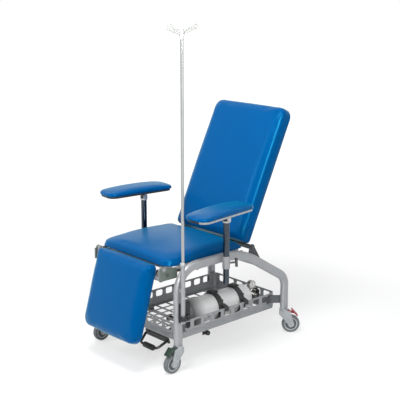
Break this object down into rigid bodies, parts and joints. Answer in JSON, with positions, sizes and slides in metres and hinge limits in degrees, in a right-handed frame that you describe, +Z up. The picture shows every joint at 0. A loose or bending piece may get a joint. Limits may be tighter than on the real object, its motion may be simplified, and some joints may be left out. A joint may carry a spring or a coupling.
{
  "type": "phlebotomy chair",
  "caption": "Wheeled blood-draw recliner with padded seat, backrest, legrest and swivelling armrests, a perforated under-tray with an oxygen cylinder, an infusion pole and braked castors.",
  "frame": {"origin": "on the floor, midway between the four castor stems", "axes": "+Z up, -Y towards the front of the chair where the legrest hangs, +X towards the seated person's left, where the infusion pole stands"},
  "size_m": [0.8614, 1.0923, 1.7306],
  "materials": {
    "frame_paint": "satin",
    "under_paint": "satin",
    "bracket_paint": "satin",
    "plywood": "matte",
    "vinyl": "satin",
    "arm_shell": "matte",
    "wire_grey": "satin",
    "zinc_steel": "satin",
    "chrome_tube": "polished",
    "socket_grey": "satin",
    "cast_alloy": "satin",
    "black_plastic": "matte",
    "pole_paint": "satin",
    "hook_plastic": "gloss",
    "cylinder_paint": "gloss",
    "boot_rubber": "matte",
    "strap_web": "matte",
    "valve_metal": "satin",
    "knob_plastic": "gloss",
    "pedal_paint": "satin",
    "spring_body": "satin",
    "spring_rod": "polished",
    "castor_housing": "satin",
    "castor_tyre": "matte",
    "brake_green": "satin",
    "brake_red": "satin"
  },
  "bodies": {
    "chassis": {"side_frame_left": "frame_paint", "side_frame_right": "frame_paint", "seat_frame": "under_paint", "seat_board": "plywood", "seat_cushion": "vinyl", "legrest_hinge_plates": "bracket_paint", "backrest_hinge_plates": "bracket_paint", "frame_bolts": "zinc_steel", "tray": "wire_grey", "tray_brackets": "wire_grey", "arm_sockets": "socket_grey", "rear_cross_tube": "under_paint", "pole_clamp": "black_plastic", "pole_tube": "pole_paint", "gas_cylinder": "cylinder_paint", "cylinder_boot": "boot_rubber", "valve_body": "valve_metal", "cylinder_straps": "strap_web", "strap_buckles": "black_plastic", "pedal_lugs": "wire_grey", "pedal_axle": "zinc_steel", "axle_caps": "black_plastic", "castor_stems": "zinc_steel"},
    "backrest": {"backrest_frame": "under_paint", "backrest_board": "plywood", "backrest_cushion": "vinyl"},
    "legrest": {"legrest_frame": "under_paint", "legrest_board": "plywood", "legrest_cushion": "vinyl"},
    "leg_spring_cylinder": {"leg_spring_cylinder": "spring_body"},
    "leg_spring_rod": {"leg_spring_rod": "spring_rod"},
    "back_spring_cylinder": {"back_spring_cylinder": "spring_body"},
    "back_spring_rod": {"back_spring_rod": "spring_rod"},
    "valve_handwheel": {"valve_handwheel": "knob_plastic"},
    "foot_pedal": {"pedal_frame": "pedal_paint", "pedal_tread": "boot_rubber"},
    "pole_rod": {"pole_rod": "chrome_tube"},
    "hook_head": {"hook_head": "hook_plastic"},
    "arm_left_post": {"arm_left_post": "chrome_tube"},
    "arm_left_head": {"arm_left_head": "cast_alloy"},
    "arm_left_rest": {"arm_left_board": "arm_shell", "arm_left_pad": "vinyl"},
    "arm_left_screw": {"arm_left_screw": "black_plastic"},
    "arm_right_post": {"arm_right_post": "chrome_tube"},
    "arm_right_head": {"arm_right_head": "cast_alloy"},
    "arm_right_rest": {"arm_right_board": "arm_shell", "arm_right_pad": "vinyl"},
    "arm_right_screw": {"arm_right_screw": "black_plastic"},
    "castor_front_left": {"fork_front_left": "castor_housing"},
    "wheel_front_left": {"wheel_front_left": "castor_tyre"},
    "brake_front_left": {"brake_front_left": "brake_green"},
    "castor_front_right": {"fork_front_right": "castor_housing"},
    "wheel_front_right": {"wheel_front_right": "castor_tyre"},
    "brake_front_right": {"brake_front_right": "brake_green"},
    "castor_rear_left": {"fork_rear_left": "castor_housing"},
    "wheel_rear_left": {"wheel_rear_left": "castor_tyre"},
    "brake_rear_left": {"brake_rear_left": "brake_red"},
    "castor_rear_right": {"fork_rear_right": "castor_housing"},
    "wheel_rear_right": {"wheel_rear_right": "castor_tyre"},
    "brake_rear_right": {"brake_rear_right": "brake_red"}
  },
  "joints": [
    {"name": "backrest_recline", "type": "hinge", "parent": "chassis", "child": "backrest", "pos_m": [0, 0.148, 0.538], "axis": [-1, 0, 0], "range_deg": [0, 60]},
    {"name": "legrest_lift", "type": "hinge", "parent": "chassis", "child": "legrest", "pos_m": [0, -0.458, 0.541], "axis": [-1, 0, 0], "range_deg": [0, 74]},
    {"name": "leg_spring_swing", "type": "hinge", "parent": "chassis", "child": "leg_spring_cylinder", "pos_m": [0.2, -0.18, 0.478], "axis": [1, 0, 0], "range_deg": [0, 1.12]},
    {"name": "leg_spring_stroke", "type": "slide", "parent": "leg_spring_cylinder", "child": "leg_spring_rod", "axis": [0, -0.9926, 0.1214], "range_m": [0, 0.04795]},
    {"name": "back_spring_swing", "type": "hinge", "parent": "chassis", "child": "back_spring_cylinder", "pos_m": [0, 0.193, 0.405], "axis": [1, 0, 0], "range_deg": [0, 1.03]},
    {"name": "back_spring_stroke", "type": "slide", "parent": "back_spring_cylinder", "child": "back_spring_rod", "axis": [0, -0.0444, 0.999], "range_m": [-0.04404, 0]},
    {"name": "arm_left_height", "type": "slide", "parent": "chassis", "child": "arm_left_post", "axis": [0, 0, 1], "range_m": [0, 0.07]},
    {"name": "arm_left_swivel", "type": "hinge", "parent": "arm_left_post", "child": "arm_left_head", "pos_m": [0.331, -0.093, 0.729], "axis": [0, 0, 1], "range_deg": [-20, 80]},
    {"name": "arm_left_tilt", "type": "hinge", "parent": "arm_left_head", "child": "arm_left_rest", "pos_m": [0.331, -0.093, 0.752], "axis": [-0.9925, -0.1219, 0], "range_deg": [-10, 25]},
    {"name": "arm_left_lock", "type": "hinge", "parent": "chassis", "child": "arm_left_screw", "pos_m": [0.354, -0.05316, 0.515], "axis": [0.5, 0.866, 0], "continuous": true},
    {"name": "arm_right_height", "type": "slide", "parent": "chassis", "child": "arm_right_post", "axis": [0, 0, 1], "range_m": [0, 0.07]},
    {"name": "arm_right_swivel", "type": "hinge", "parent": "arm_right_post", "child": "arm_right_head", "pos_m": [-0.331, -0.093, 0.729], "axis": [0, 0, -1], "range_deg": [-20, 80]},
    {"name": "arm_right_tilt", "type": "hinge", "parent": "arm_right_head", "child": "arm_right_rest", "pos_m": [-0.331, -0.093, 0.752], "axis": [-0.9925, 0.1219, 0], "range_deg": [-10, 25]},
    {"name": "arm_right_lock", "type": "hinge", "parent": "chassis", "child": "arm_right_screw", "pos_m": [-0.354, -0.05316, 0.515], "axis": [-0.5, 0.866, 0], "continuous": true},
    {"name": "valve_turn", "type": "hinge", "parent": "chassis", "child": "valve_handwheel", "pos_m": [0.14, 0.319, 0.212], "axis": [0, 1, 0], "range_deg": [0, 360]},
    {"name": "pedal_press", "type": "hinge", "parent": "chassis", "child": "foot_pedal", "pos_m": [0, -0.138, 0.12], "axis": [1, 0, 0], "range_deg": [0, 6], "stiffness_Nm_per_rad": 30, "springref_deg": -11.46},
    {"name": "pole_height", "type": "slide", "parent": "chassis", "child": "pole_rod", "axis": [0, 0, 1], "range_m": [0, 0.12]},
    {"name": "hook_turn", "type": "hinge", "parent": "pole_rod", "child": "hook_head", "pos_m": [0.33, -0.386, 1.676], "axis": [0, 0, 1], "continuous": true},
    {"name": "swivel_front_left", "type": "hinge", "parent": "chassis", "child": "castor_front_left", "pos_m": [0.296, -0.39, 0.13], "axis": [0, 0, 1], "continuous": true},
    {"name": "roll_front_left", "type": "hinge", "parent": "castor_front_left", "child": "wheel_front_left", "pos_m": [0.296, -0.43, 0.05], "axis": [1, 0, 0], "continuous": true},
    {"name": "lock_front_left", "type": "hinge", "parent": "castor_front_left", "child": "brake_front_left", "pos_m": [0.296, -0.414, 0.121], "axis": [1, 0, 0], "range_deg": [0, 4]},
    {"name": "swivel_front_right", "type": "hinge", "parent": "chassis", "child": "castor_front_right", "pos_m": [-0.296, -0.39, 0.13], "axis": [0, 0, 1], "continuous": true},
    {"name": "roll_front_right", "type": "hinge", "parent": "castor_front_right", "child": "wheel_front_right", "pos_m": [-0.296, -0.43, 0.05], "axis": [1, 0, 0], "continuous": true},
    {"name": "lock_front_right", "type": "hinge", "parent": "castor_front_right", "child": "brake_front_right", "pos_m": [-0.296, -0.414, 0.121], "axis": [1, 0, 0], "range_deg": [0, 4]},
    {"name": "swivel_rear_left", "type": "hinge", "parent": "chassis", "child": "castor_rear_left", "pos_m": [0.296, 0.39, 0.13], "axis": [0, 0, 1], "continuous": true},
    {"name": "roll_rear_left", "type": "hinge", "parent": "castor_rear_left", "child": "wheel_rear_left", "pos_m": [0.32171, 0.42064, 0.05], "axis": [-0.766, 0.6428, 0], "continuous": true},
    {"name": "lock_rear_left", "type": "hinge", "parent": "castor_rear_left", "child": "brake_rear_left", "pos_m": [0.31143, 0.40838, 0.121], "axis": [-0.766, 0.6428, 0], "range_deg": [0, 4]},
    {"name": "swivel_rear_right", "type": "hinge", "parent": "chassis", "child": "castor_rear_right", "pos_m": [-0.296, 0.39, 0.13], "axis": [0, 0, 1], "continuous": true},
    {"name": "roll_rear_right", "type": "hinge", "parent": "castor_rear_right", "child": "wheel_rear_right", "pos_m": [-0.3129, 0.42625, 0.05], "axis": [-0.9063, -0.4226, 0], "continuous": true},
    {"name": "lock_rear_right", "type": "hinge", "parent": "castor_rear_right", "child": "brake_rear_right", "pos_m": [-0.30614, 0.41175, 0.121], "axis": [-0.9063, -0.4226, 0], "range_deg": [0, 4]}
  ],
  "couplings": [
    {"joint": "leg_spring_swing", "follows": "legrest_lift", "ratio": 0.014903},
    {"joint": "leg_spring_stroke", "follows": "legrest_lift", "m_per_rad": 0.037045},
    {"joint": "back_spring_swing", "follows": "backrest_recline", "ratio": 0.01679},
    {"joint": "back_spring_stroke", "follows": "backrest_recline", "m_per_rad": -0.041959}
  ]
}
